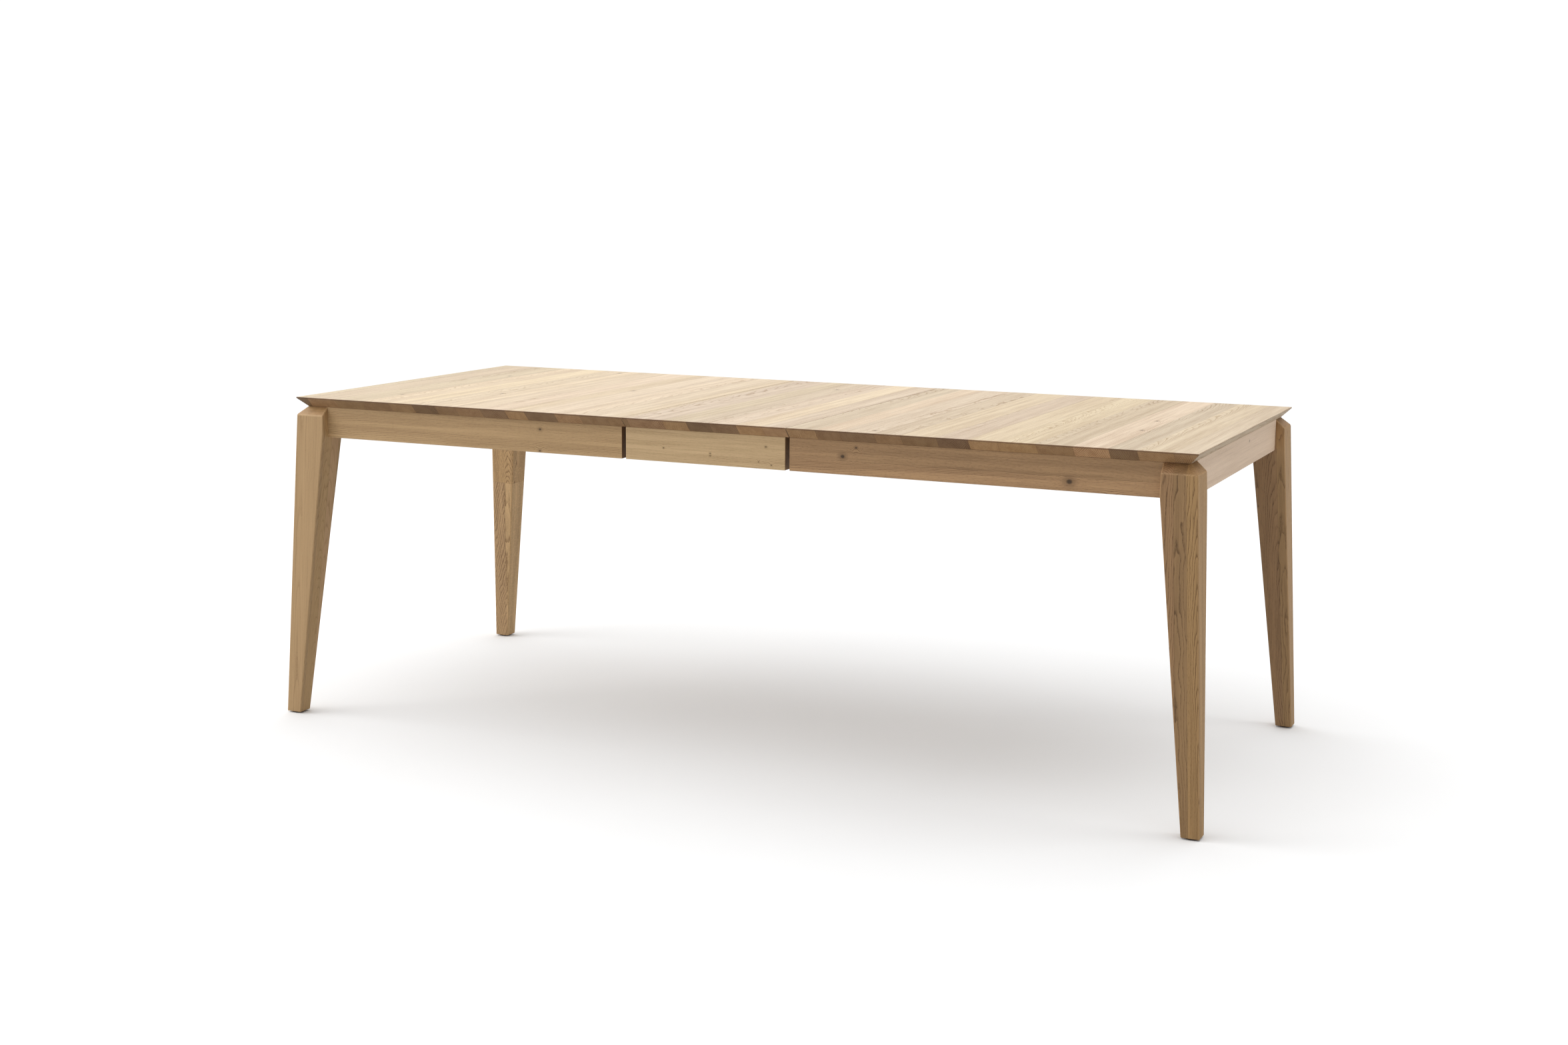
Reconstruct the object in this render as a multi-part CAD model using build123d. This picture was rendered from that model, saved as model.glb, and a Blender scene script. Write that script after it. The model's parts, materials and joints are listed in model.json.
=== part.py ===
from build123d import *
import os
from math import sqrt

# Extendable dining table in oak, standing set up with its loose leaf in the middle.
# Millimetres. X runs along the table, Y across it, Z up from the floor.
# The origin is on the floor, under the middle of the table.
# The left half (-X) stands still. The right half slides out along +X, and the leaf lifts off along +Z.

# ---------------------------------------------------------------- driving sizes
table_height = 755.0
half_length = 865.0  # one half of the top, from its end to its seam
leaf_length = 390.0  # room between the halves, along X
top_width = 900.0

# top
top_thickness = 22.5
top_edge_land = 2.5  # upright strip left at the top's edge above the under-bevel
seam_gap = 1.0  # the thin line between two boards
edge_slack = 1.0  # for telling an outer edge from a seam edge by its place

# legs: their outer faces meet the top's edge at the shoulder and lean out to the foot
leg_head = 78.0  # square section at the shoulder, where the taper starts
leg_foot = 38.0  # square section at the floor
leg_seat = 73.5  # from the top's end or side to the leg's upright inner face, where the aprons meet it
leg_splay_x = 38.0
leg_splay_y = 25.0
leg_shoulder_rise = 19.0  # height of the sloped part between the shoulder and the top
leg_flat = 16.0  # how far the inner corner is cut back to seat the corner plate's bolts
leg_flat_height = 68.0  # hidden behind the aprons
foot_chamfer = 2.0
glide_thickness = 3.0
glide_radius = 14.0

# aprons and rails
apron_height = 70.0
apron_thickness = 24.0
apron_gap = 10.0  # each apron stops this far short of the next one, on the left of a seam
seam_rail_setback = 70.0  # from the half's seam edge to the rail
seam_rail_thickness = 25.0
seam_rail_height = 62.0

# wooden runners: a pair of bars side by side, twice, with a key in a groove between them
runner_height = 44.0
runner_thickness = 24.0
runner_offset = 300.0  # from the table's middle line to the split between the two bars
runner_split = 1.0  # gap between the two bars
runner_drop = 1.5  # the bars hang this far below the top, on raised lands
runner_end_clear = 110.0  # from the half's end to the start of its bar
runner_reach = 695.0  # how far a bar stands out past its own seam edge
runner_land_length = 360.0
key_height = 10.0
key_depth = 7.0  # how far the key stands out of its bar
key_root = 6.0  # how deep it is let into its bar
key_clear = 0.4
extra_travel = 420.0  # how far the halves still pull apart with one leaf in place
stop_pin_radius = 3.0
stop_pin_setback = 12.0  # from a left bar's free end to its stop pin
key_end_play = 1.0  # gap left between the key and the stop pin at full travel
runner_screw_places = (0.12, 0.5, 0.88)  # shares of the raised land's length
rail_notch_clear = 1.5

# leaf
leaf_batten_width = 56.0
leaf_batten_thickness = 20.0
leaf_batten_setback = 100.0  # from the seam to the batten's middle
leaf_batten_clear = 20.0  # from a batten's end to the runner beside it
leaf_pad_radius = 9.0
leaf_pad_setback = 75.0  # from the seam to the pad
batten_screw_places = (-0.4, 0.0, 0.4)  # shares of the batten's length
batten_screw_bite = 11.0  # length of a batten screw in the leaf

# steel hardware
plate_thickness = 3.0
corner_plate_height = 50.0
corner_plate_standoff = 5.0  # from the flat on the leg to the plate
corner_flange = 28.0
corner_screw_setback = 15.0  # from the plate's fold to the screws in its flange
corner_screw_rise = 12.5  # from the plate's middle height to those screws
bolt_radius = 4.0
bolt_in_leg = 40.0
bolt_spacing = 26.0
bolt_past_nut = 4.5  # how far a bolt stands out past its nut
nut_across_flats = 13.0
nut_height = 6.5
washer_radius = 8.0
washer_thickness = 1.6
clip_leg = 22.0
clip_width = 18.0
clip_thickness = 2.0
clip_screw_setback = 13.0  # from a clip's corner to its screws
clip_places = (0.3, 0.75)  # shares of the way from a seam to the end apron
end_clip_place = 215.0  # from the table's middle line
screw_radius = 2.0
screw_head_radius = 4.0
screw_head_height = 2.2
screw_length = 14.0
runner_screw_bite = 13.0  # length of a runner screw in the top
hole_clear = 0.1

# plates that carry the leaf level with the halves
support_plate_length = 60.0
support_plate_width = 40.0
support_plate_places = (60.0, 366.0)  # from the table's middle line
plate_screw_places = (9.0, 22.5)  # from the seam edge, in the half that holds the plate

# hook latches under the seams
latch_offset = 200.0  # from the table's middle line
latch_pivot_setback = 50.0  # from the seam to the pivot
latch_reach = 85.0  # from the pivot to the stud
latch_width = 20.0
latch_thickness = 5.0
latch_drop = 7.0  # from the underside of the top to the lever
latch_pin_radius = 4.0
latch_pin_clear = 0.1
latch_side_play = 0.3
latch_slot_clear = 1.0
latch_base_length = 44.0
latch_base_width = 24.0
latch_base_thickness = 2.5
latch_screw_place = 16.0  # from the pivot
latch_collar_radius = 6.0
latch_washer_radius = 8.0
latch_washer_thickness = 2.5
latch_grip_place = 53.0  # from the pivot to the middle of the thumb grip
latch_grip_radius = 7.0
stud_radius = 3.0
stud_below = 18.0  # length of a stud below the top
stud_in_wood = 12.0

# ---------------------------------------------------------------- places worked out from them
seam = leaf_length / 2
end_x = seam + half_length
side_y = top_width / 2
under_top = table_height - top_thickness
bevel = top_thickness - top_edge_land
setback = bevel  # apron faces stand under the lower edge of the bevel
shoulder_z = under_top - leg_shoulder_rise
half_edge = seam + seam_gap / 2
leaf_edge = seam - seam_gap / 2
apron_bottom = under_top - apron_height
apron_out_y = side_y - setback
apron_in_y = apron_out_y - apron_thickness
apron_out_x = end_x - setback
apron_in_x = apron_out_x - apron_thickness
runner_top = under_top - runner_drop
runner_bottom = runner_top - runner_height
runner_start = end_x - runner_end_clear
runner_free_end = runner_reach - half_edge  # past the table's middle, on the other side
outer_bar_y = (runner_offset + runner_split / 2, runner_offset + runner_split / 2 + runner_thickness)
inner_bar_y = (runner_offset - runner_split / 2 - runner_thickness, runner_offset - runner_split / 2)
key_z = (runner_top + runner_bottom) / 2
leaf_batten_offset = seam - leaf_batten_setback
leaf_batten_length = 2 * (inner_bar_y[0] - leaf_batten_clear)
leaf_pad_offset = seam - leaf_pad_setback
rail_near = half_edge + seam_rail_setback
leg_inner_x = end_x - leg_seat
leg_inner_y = side_y - leg_seat
end_out = end_x + leg_splay_x + leg_head  # clear of a leg on its outer sides
side_out = side_y + leg_splay_y + leg_head
HALVES = (("left", -1), ("right", 1))
SIDES = (("front", -1), ("back", 1))

os.makedirs("parts", exist_ok=True)


# ---------------------------------------------------------------- helpers
def block(xs, ys, zs):
    """A box between two values on each axis, given in any order."""
    low = [min(pair) for pair in (xs, ys, zs)]
    size = [abs(pair[1] - pair[0]) for pair in (xs, ys, zs)]
    return Pos(*low) * Box(*size, align=(Align.MIN, Align.MIN, Align.MIN))


def rod(start, direction, length, radius):
    """A cylinder that starts at a point and runs along a direction."""
    solid = Cylinder(radius, length, align=(Align.CENTER, Align.CENTER, Align.MIN))
    return Plane(origin=start, z_dir=direction) * solid


def save(name, *solids):
    """Write one node. Its file may hold several separate solids."""
    shape = solids[0] if len(solids) == 1 else Compound(children=list(solids))
    shape.label = name
    export_step(shape, f"parts/{name}.step")


def screw(seat, direction, length):
    """A pan-head wood screw. seat is where its head bears, and direction is the way it is driven."""
    way = Vector(*direction)
    start = Vector(*seat) - way * screw_head_height
    shank = rod(start, direction, screw_head_height + length, screw_radius)
    head = rod(start, direction, screw_head_height, screw_head_radius)
    return shank + head


def screw_hole(seat, direction, length):
    return rod(seat, direction, length + hole_clear, screw_radius + hole_clear)


def drilled(solid, screws):
    """Cut the holes of a list of screws from a solid."""
    for seat, direction, length in screws:
        solid = solid - screw_hole(seat, direction, length)
    return solid


# ---------------------------------------------------------------- screw places
def clip_screws(corner, away, length=screw_length):
    """The two screws of one clip: one into the wood behind it, one up into the top."""
    x, y, z = corner
    ax, ay = away
    plate = clip_thickness
    into_wood = ((x + ax * plate, y + ay * plate, z - clip_screw_setback), (-ax, -ay, 0), length)
    on_flat = (x + ax * clip_screw_setback, y + ay * clip_screw_setback, z - plate)
    into_top = (on_flat, (0, 0, 1), length)
    return [into_wood, into_top]


def clip(corner, away):
    """An angle clip in the corner between an upright face and the underside of the top."""
    x, y, z = corner
    ax, ay = away
    half = clip_width / 2
    along_x = (x - half, x + half) if ax == 0 else (x, x + ax * clip_leg)
    along_y = (y - half, y + half) if ay == 0 else (y, y + ay * clip_leg)
    flat = block(along_x, along_y, (z - clip_thickness, z))
    thin_x = (x - half, x + half) if ax == 0 else (x, x + ax * clip_thickness)
    thin_y = (y - half, y + half) if ay == 0 else (y, y + ay * clip_thickness)
    upright = block(thin_x, thin_y, (z - clip_leg, z))
    return drilled(flat + upright, clip_screws(corner, away))


def half_clips(way):
    """Corners and directions of the clips that hold the top of one half."""
    places = []
    for _, side in SIDES:
        for share in clip_places:
            x = half_edge + (apron_in_x - half_edge) * share
            places.append(((way * x, side * apron_in_y, under_top), (0, -side)))
        places.append(((way * apron_in_x, side * end_clip_place, under_top), (-way, 0)))
        rail_face = rail_near + seam_rail_thickness
        places.append(((way * rail_face, side * latch_offset, under_top), (way, 0)))
    return places


def leaf_clips():
    places = []
    for _, side in SIDES:
        for end in (-1, 1):
            places.append(((end * leaf_batten_offset, side * apron_in_y, under_top), (0, -side)))
    return places


def runner_screws(way, side, bar_y):
    """Long screws from under a bar, through its raised land, into the top."""
    y = side * sum(bar_y) / 2
    screws = []
    for share in runner_screw_places:
        x = way * (runner_start - runner_land_length * share)
        seat = (x, y, runner_bottom + screw_head_height)
        bite = under_top + runner_screw_bite - seat[2]
        screws.append((seat, (0, 0, 1), bite))
    return screws


def plate_screws(seam_x, way):
    """Screws of the support plates. way points from the seam into the half that holds them."""
    screws = []
    for _, side in SIDES:
        for place in support_plate_places:
            for from_seam in plate_screw_places:
                seat = (seam_x + way * from_seam, side * place, under_top - plate_thickness)
                screws.append((seat, (0, 0, 1), screw_length))
    return screws


def latch_screws(pivot):
    """Screws of one latch base."""
    x, y = pivot
    screws = []
    for end in (-1, 1):
        seat = (x, y + end * latch_screw_place, under_top - latch_base_thickness)
        screws.append((seat, (0, 0, 1), screw_length))
    return screws


def batten_screws(end):
    screws = []
    for share in batten_screw_places:
        seat = (
            end * leaf_batten_offset,
            share * leaf_batten_length,
            under_top - leaf_batten_thickness + screw_head_height,
        )
        screws.append((seat, (0, 0, 1), leaf_batten_thickness + batten_screw_bite))
    return screws


# ---------------------------------------------------------------- wooden parts
def leg_section(way, side, z, inset=0.0):
    """The leg's square section at a height up to the shoulder, drawn in by an inset all round."""
    share = 1 - z / shoulder_z
    size = leg_head + (leg_foot - leg_head) * share
    x = way * (end_x + leg_splay_x * share - size / 2)
    y = side * (side_y + leg_splay_y * share - size / 2)
    return Pos(x, y, z) * Rectangle(size - 2 * inset, size - 2 * inset)


def leg(way, side):
    """One tapered leg. Its outer faces lean out to the floor, and its head slopes in under the top.

    Its inner faces are upright where the aprons meet it.
    """
    foot = leg_section(way, side, glide_thickness, foot_chamfer)
    ankle = leg_section(way, side, glide_thickness + foot_chamfer)
    shoulder = leg_section(way, side, shoulder_z)
    head_size = leg_head - setback
    head = Pos(way * (apron_out_x - head_size / 2), side * (apron_out_y - head_size / 2), under_top)
    head = head * Rectangle(head_size, head_size)
    solid = loft([foot, ankle], ruled=True)
    solid = solid + loft([ankle, shoulder], ruled=True)
    solid = solid + loft([shoulder, head], ruled=True)
    room = block((way * leg_inner_x, way * end_out), (side * leg_inner_y, side * side_out), (0, under_top))
    solid = solid & room
    flat, inward = corner_flat(way, side)
    cutter_middle = flat + inward * leg_head / 2 + Vector(0, 0, under_top - leg_flat_height / 2)
    cutter = Pos(*cutter_middle) * Rot(0, 0, 45) * Box(leg_head, leg_head, leg_flat_height)
    return solid - cutter


def corner_flat(way, side):
    """The middle of the flat on the inner corner of a leg, and the way it faces."""
    inward = Vector(-way, -side, 0).normalized()
    corner = Vector(way * leg_inner_x, side * leg_inner_y, 0)
    return corner - inward * (leg_flat / sqrt(2)), inward


def bolt_heights():
    middle = under_top - apron_height / 2
    return (middle - bolt_spacing / 2, middle + bolt_spacing / 2)


def long_apron(way, side, near):
    """An apron along one half, from near its seam to the leg."""
    far = end_x - leg_head / 2
    bar = block((way * near, way * far), (side * apron_in_y, side * apron_out_y), (apron_bottom, under_top))
    return bar - leg(way, side)


def end_apron(way):
    reach = side_y - leg_head / 2
    bar = block((way * apron_in_x, way * apron_out_x), (-reach, reach), (apron_bottom, under_top))
    return bar - leg(way, -1) - leg(way, 1)


def half_top(way):
    slab = block((way * half_edge, way * end_x), (-side_y, side_y), (under_top, table_height))
    low_edges = slab.faces().sort_by(Axis.Z)[0].edges()
    outer = [edge for edge in low_edges if abs(edge.center().X) > half_edge + edge_slack]
    return chamfer(outer, bevel)


def leaf_top():
    slab = block((-leaf_edge, leaf_edge), (-side_y, side_y), (under_top, table_height))
    low_edges = slab.faces().sort_by(Axis.Z)[0].edges()
    outer = [edge for edge in low_edges if abs(edge.center().Y) > side_y - edge_slack]
    return chamfer(outer, bevel)


def seam_rail(way):
    """A cross rail near a seam, notched where both pairs of runners pass."""
    far = rail_near + seam_rail_thickness
    rail_z = (under_top - seam_rail_height, under_top)
    rail = block((way * rail_near, way * far), (-apron_in_y, apron_in_y), rail_z)
    for _, side in SIDES:
        notch_y = (side * (inner_bar_y[0] - rail_notch_clear), side * (outer_bar_y[1] + rail_notch_clear))
        notch = block((way * rail_near, way * far), notch_y, (runner_bottom - rail_notch_clear, under_top))
        rail = rail - notch
    return rail


def runner_bar(way, side, bar_y):
    """One bar: fixed to its half by a raised land, and free beyond the seam."""
    ys = (side * bar_y[0], side * bar_y[1])
    bar = block((way * runner_start, -way * runner_free_end), ys, (runner_bottom, runner_top))
    land = block((way * runner_start, way * (runner_start - runner_land_length)), ys, (runner_top, under_top))
    return bar + land


def stop_pin_x():
    """The stop pin stands near the free end of a left bar. The key meets it at full travel."""
    return runner_free_end - stop_pin_setback


def key_ends():
    """The key starts flush with the free end of the right bar and ends short of the stop pin."""
    return (-runner_free_end, stop_pin_x() - stop_pin_radius - extra_travel - key_end_play)


def key_block(side, grow):
    """The key strip, or with a clearance the room it needs in its groove."""
    split_y = inner_bar_y[1]
    ys = (side * (split_y - key_root), side * (split_y + key_depth + grow))
    half = key_height / 2 + grow
    return block(key_ends(), ys, (key_z - half, key_z + half))


def left_runner(side):
    """The outer bar of a pair, with a groove along its inner face for the key."""
    bar = runner_bar(-1, side, outer_bar_y)
    half = key_height / 2 + key_clear
    depth = key_depth - runner_split + key_clear
    groove_y = (side * outer_bar_y[0], side * (outer_bar_y[0] + depth))
    groove = block((-runner_start, runner_free_end), groove_y, (key_z - half, key_z + half))
    pin_hole = rod((stop_pin_x(), side * outer_bar_y[0], key_z), (0, side, 0), runner_thickness, stop_pin_radius)
    return bar - groove - pin_hole


def stop_pin(side):
    start = (stop_pin_x(), side * outer_bar_y[0], key_z)
    return rod(start, (0, side, 0), runner_thickness, stop_pin_radius - hole_clear)


def right_runner(side):
    """The inner bar of a pair, with the seat of the key along its outer face."""
    return runner_bar(1, side, inner_bar_y) - key_block(side, 0)


# ---------------------------------------------------------------- steel parts
def upright_strip(start, end, thickness, zs):
    """A flat strip standing on edge between two points of the plan."""
    run = Vector(*end) - Vector(*start)
    middle = (Vector(*start) + Vector(*end)) / 2
    turn = Rot(0, 0, Vector(1, 0, 0).get_signed_angle(run, Vector(0, 0, 1)))
    height = zs[1] - zs[0]
    return Pos(middle.X, middle.Y, (zs[0] + zs[1]) / 2) * turn * Box(run.length, thickness, height)


def corner_plate(way, side):
    """A folded plate across a corner. Two bolts through it pull the leg into the corner."""
    flat, inward = corner_flat(way, side)
    face = flat + inward * (corner_plate_standoff + plate_thickness / 2)
    middle = under_top - apron_height / 2
    zs = (middle - corner_plate_height / 2, middle + corner_plate_height / 2)
    inner_y = apron_in_y - plate_thickness / 2
    inner_x = apron_in_x - plate_thickness / 2
    # the plate's line runs where |x| + |y| stays the same
    total = abs(face.X) + abs(face.Y)
    at_long = (way * (total - inner_y), side * inner_y)
    at_end = (way * inner_x, side * (total - inner_x))
    along_long = (at_long[0] - way * corner_flange, at_long[1])
    along_end = (at_end[0], at_end[1] - side * corner_flange)
    plate = upright_strip(at_long, at_end, plate_thickness, zs)
    plate = plate + upright_strip(at_long, along_long, plate_thickness, zs)
    plate = plate + upright_strip(at_end, along_end, plate_thickness, zs)
    for corner in (at_long, at_end):
        knuckle = rod((corner[0], corner[1], zs[0]), (0, 0, 1), corner_plate_height, plate_thickness / 2)
        plate = plate + knuckle
    for z in bolt_heights():
        start = Vector(flat.X, flat.Y, z)
        through = 2 * (corner_plate_standoff + plate_thickness)
        plate = plate - rod(start, inward, through, bolt_radius + 2 * hole_clear)
    return drilled(plate, corner_screws(way, side))


def corner_screws(way, side):
    """Screws through the corner plate's flanges into the aprons."""
    flat, inward = corner_flat(way, side)
    face = flat + inward * (corner_plate_standoff + plate_thickness / 2)
    total = abs(face.X) + abs(face.Y)
    middle = under_top - apron_height / 2
    inner_y = apron_in_y - plate_thickness
    inner_x = apron_in_x - plate_thickness
    along_x = way * (total - apron_in_y - corner_screw_setback)
    along_y = side * (total - apron_in_x - corner_screw_setback)
    screws = []
    for rise in (-1, 1):
        z = middle + rise * corner_screw_rise
        screws.append(((along_x, side * inner_y, z), (0, side, 0), screw_length))
        screws.append(((way * inner_x, along_y, z), (way, 0, 0), screw_length))
    return screws


def leg_bolt(way, side, z):
    """A bolt screwed into the leg, standing out through the corner plate."""
    flat, inward = corner_flat(way, side)
    start = Vector(flat.X, flat.Y, z) - inward * bolt_in_leg
    stand_out = corner_plate_standoff + plate_thickness + washer_thickness + nut_height + bolt_past_nut
    return rod(start, inward, bolt_in_leg + stand_out, bolt_radius)


def leg_bolt_hole(way, side, z):
    flat, inward = corner_flat(way, side)
    start = Vector(flat.X, flat.Y, z) - inward * (bolt_in_leg + hole_clear)
    return rod(start, inward, bolt_in_leg + leg_head, bolt_radius + hole_clear)


def leg_nut(way, side, z):
    """A washer and a hexagon nut, made as one solid so that they stay together."""
    flat, inward = corner_flat(way, side)
    seat = Vector(flat.X, flat.Y, z) + inward * (corner_plate_standoff + plate_thickness)
    washer = rod(seat, inward, washer_thickness, washer_radius)
    hexagon = RegularPolygon(nut_across_flats / 2, 6, major_radius=False)
    on_washer = seat + inward * washer_thickness
    nut = Plane(origin=on_washer, z_dir=inward) * extrude(hexagon, nut_height)
    bore_start = seat - inward * washer_thickness
    bore = rod(bore_start, inward, nut_height + 3 * washer_thickness, bolt_radius + hole_clear)
    return washer + nut - bore


def support_plate(seam_x, place):
    """A flat plate under a seam: half of it is screwed to a half of the table, half carries the leaf."""
    reach = support_plate_length / 2
    ys = (place - support_plate_width / 2, place + support_plate_width / 2)
    return block((seam_x - reach, seam_x + reach), ys, (under_top - plate_thickness, under_top))


# ---------------------------------------------------------------- hook latches
def latch_pivot(seam_x, side):
    return (seam_x - latch_pivot_setback, side * latch_offset)


def latch_levels():
    """Top and bottom of a lever."""
    top = under_top - latch_drop
    return top, top - latch_thickness


def latch_base(seam_x, side):
    """Base plate with its pivot pin and the washer that keeps the lever on."""
    x, y = latch_pivot(seam_x, side)
    top, bottom = latch_levels()
    xs = (x - latch_base_width / 2, x + latch_base_width / 2)
    ys = (y - latch_base_length / 2, y + latch_base_length / 2)
    base = block(xs, ys, (under_top - latch_base_thickness, under_top))
    base = drilled(base, latch_screws((x, y)))
    base_under = (x, y, under_top - latch_base_thickness)
    collar_length = base_under[2] - top - latch_side_play
    collar = rod(base_under, (0, 0, -1), collar_length, latch_collar_radius)
    pin_length = base_under[2] - bottom + latch_side_play
    pin = rod(base_under, (0, 0, -1), pin_length, latch_pin_radius)
    washer_top = (x, y, bottom - latch_side_play)
    washer = rod(washer_top, (0, 0, -1), latch_washer_thickness, latch_washer_radius)
    return base + collar + pin + washer


def latch_lever(seam_x, side):
    """A flat lever with a hook slot, swung back alongside the seam, which is its open place."""
    top, bottom = latch_levels()
    length = latch_reach
    round_end = latch_width / 2
    outline = Pos(length / 2, 0) * Rectangle(length, latch_width)
    outline = outline + Circle(round_end) + Pos(length, 0) * Circle(round_end)
    slot_width = 2 * (stud_radius + latch_slot_clear)
    slot = Pos(length, 0) * Circle(slot_width / 2)
    slot = slot + Pos(length, side * round_end) * Rectangle(slot_width, 2 * round_end)
    grip = Pos(latch_grip_place, -side * round_end) * Circle(latch_grip_radius)
    outline = outline + grip - slot - Circle(latch_pin_radius + latch_pin_clear)
    lever = extrude(outline, latch_thickness)
    x, y = latch_pivot(seam_x, side)
    return Pos(x, y, bottom) * Rot(0, 0, -side * 90) * lever


def stud_place(seam_x, side):
    return (seam_x - latch_pivot_setback + latch_reach, side * latch_offset)


def stud(seam_x, side):
    """A headless stud that the hook closes round."""
    x, y = stud_place(seam_x, side)
    return rod((x, y, under_top - stud_below), (0, 0, 1), stud_below + stud_in_wood, stud_radius)


def stud_hole(seam_x, side):
    x, y = stud_place(seam_x, side)
    return rod((x, y, under_top - hole_clear), (0, 0, 1), stud_in_wood + 2 * hole_clear, stud_radius + hole_clear)


# ---------------------------------------------------------------- the two halves
apron_near = {"left": leaf_edge + apron_gap, "right": half_edge}
bar_places = {"left": outer_bar_y, "right": inner_bar_y}

for half, way in HALVES:
    top = half_top(way)
    clips = half_clips(way)
    clip_set = [screws for place in clips for screws in clip_screws(*place)]
    plate_set = plate_screws(way * half_edge, way)
    bar_set = [item for _, side in SIDES for item in runner_screws(way, side, bar_places[half])]
    corner_set = [item for _, side in SIDES for item in corner_screws(way, side)]
    latch_set = []
    if half == "left":
        for _, side in SIDES:
            latch_set += latch_screws(latch_pivot(-seam, side))
    short_set = clip_set + plate_set + corner_set + latch_set

    top = drilled(top, [item for item in short_set + bar_set if item[1] == (0, 0, 1)])
    if half == "right":
        for _, side in SIDES:
            top = top - stud_hole(seam, side)
    save(f"top_{half}", top)

    for name, side in SIDES:
        leg_solid = leg(way, side)
        for z in bolt_heights():
            leg_solid = leg_solid - leg_bolt_hole(way, side, z)
        save(f"leg_{name}_{half}", leg_solid)
        apron = drilled(long_apron(way, side, apron_near[half]), clip_set + corner_set)
        save(f"apron_{name}_{half}", apron)
        centre_x = way * (end_x + leg_splay_x - leg_foot / 2)
        centre_y = side * (side_y + leg_splay_y - leg_foot / 2)
        save(f"glide_{name}_{half}", rod((centre_x, centre_y, 0), (0, 0, 1), glide_thickness, glide_radius))
        save(f"corner_plate_{name}_{half}", corner_plate(way, side))
        bar = left_runner(side) if half == "left" else right_runner(side)
        bar = drilled(bar, runner_screws(way, side, bar_places[half]))
        for seat, _, _ in runner_screws(way, side, bar_places[half]):
            head_room = screw_head_height + hole_clear
            bar = bar - rod(seat, (0, 0, -1), head_room, screw_head_radius + hole_clear)
        save(f"runner_{name}_{half}", bar)

    save(f"end_apron_{half}", drilled(end_apron(way), clip_set + corner_set))
    save(f"seam_rail_{half}", drilled(seam_rail(way), clip_set))
    save(f"top_clips_{half}", *[clip(*place) for place in clips])
    save(f"wood_screws_{half}", *[screw(*item) for item in short_set])
    save(f"runner_screws_{half}", *[screw(*item) for item in bar_set])
    pairs = [(side, z) for _, side in SIDES for z in bolt_heights()]
    save(f"leg_bolts_{half}", *[leg_bolt(way, side, z) for side, z in pairs])
    save(f"leg_nuts_{half}", *[leg_nut(way, side, z) for side, z in pairs])
    plates = [support_plate(way * half_edge, side * place) for _, side in SIDES for place in support_plate_places]
    save(f"support_plates_{half}", *[drilled(plate, plate_set) for plate in plates])

for name, side in SIDES:
    save(f"runner_key_{name}", key_block(side, 0))
save("runner_stop_pins", *[stop_pin(side) for _, side in SIDES])
save("latch_bases_left", *[latch_base(-seam, side) for _, side in SIDES])
save("latch_studs_right", *[stud(seam, side) for _, side in SIDES])

# ---------------------------------------------------------------- the leaf
leaf_clip_set = [screws for place in leaf_clips() for screws in clip_screws(*place)]
batten_set = [item for end in (-1, 1) for item in batten_screws(end)]
leaf_latch_set = [item for _, side in SIDES for item in latch_screws(latch_pivot(seam, side))]
leaf_short_set = leaf_clip_set + leaf_latch_set

board = drilled(leaf_top(), [item for item in leaf_short_set + batten_set if item[1] == (0, 0, 1)])
for _, side in SIDES:
    board = board - stud_hole(-seam, side)
save("leaf_top", board)

for name, side in SIDES:
    xs = (-leaf_edge, half_edge - apron_gap)
    apron = block(xs, (side * apron_in_y, side * apron_out_y), (apron_bottom, under_top))
    save(f"leaf_apron_{name}", drilled(apron, leaf_clip_set))

for name, end in HALVES:
    middle = end * leaf_batten_offset
    xs = (middle - leaf_batten_width / 2, middle + leaf_batten_width / 2)
    ys = (-leaf_batten_length / 2, leaf_batten_length / 2)
    batten = drilled(block(xs, ys, (under_top - leaf_batten_thickness, under_top)), batten_set)
    for seat, _, _ in batten_screws(end):
        batten = batten - rod(seat, (0, 0, -1), screw_head_height, screw_head_radius + hole_clear)
    save(f"leaf_batten_{name}", batten)

pad_y = sum(outer_bar_y) / 2
pads = [(end * leaf_pad_offset, side * pad_y, runner_top) for end in (-1, 1) for _, side in SIDES]
save("leaf_pads", *[rod(place, (0, 0, 1), runner_drop, leaf_pad_radius) for place in pads])
save("leaf_clips", *[clip(*place) for place in leaf_clips()])
save("wood_screws_leaf", *[screw(*item) for item in leaf_short_set])
save("batten_screws", *[screw(*item) for item in batten_set])
save("leaf_studs", *[stud(-seam, side) for _, side in SIDES])
save("latch_bases_leaf", *[latch_base(seam, side) for _, side in SIDES])

for name, side in SIDES:
    save(f"latch_lever_{name}_left", latch_lever(-seam, side))
    save(f"latch_lever_{name}_leaf", latch_lever(seam, side))
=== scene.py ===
# %% [markdown]
# # An extendable dining table in oak
#
# This notebook dresses a working model of a table. The working model fixes every size and every joint, and
# here the boards get their real edges, their grain and their finish.
# The table is a top in two halves with a loose leaf between them, four tapered legs that lean out, a ring of
# thin aprons, and under the top wooden runners, steel fittings and latches.
#
# The working model comes first, as a fixed frame. Pieces that already have the right shape stay and only get
# a finish. The boards that everybody sees are made again, because a sawn board with knife-sharp edges is what
# gives a computer picture away.

# %% Load the working model
import json
import math

import bpy
from mathutils import Matrix, Vector

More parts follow.
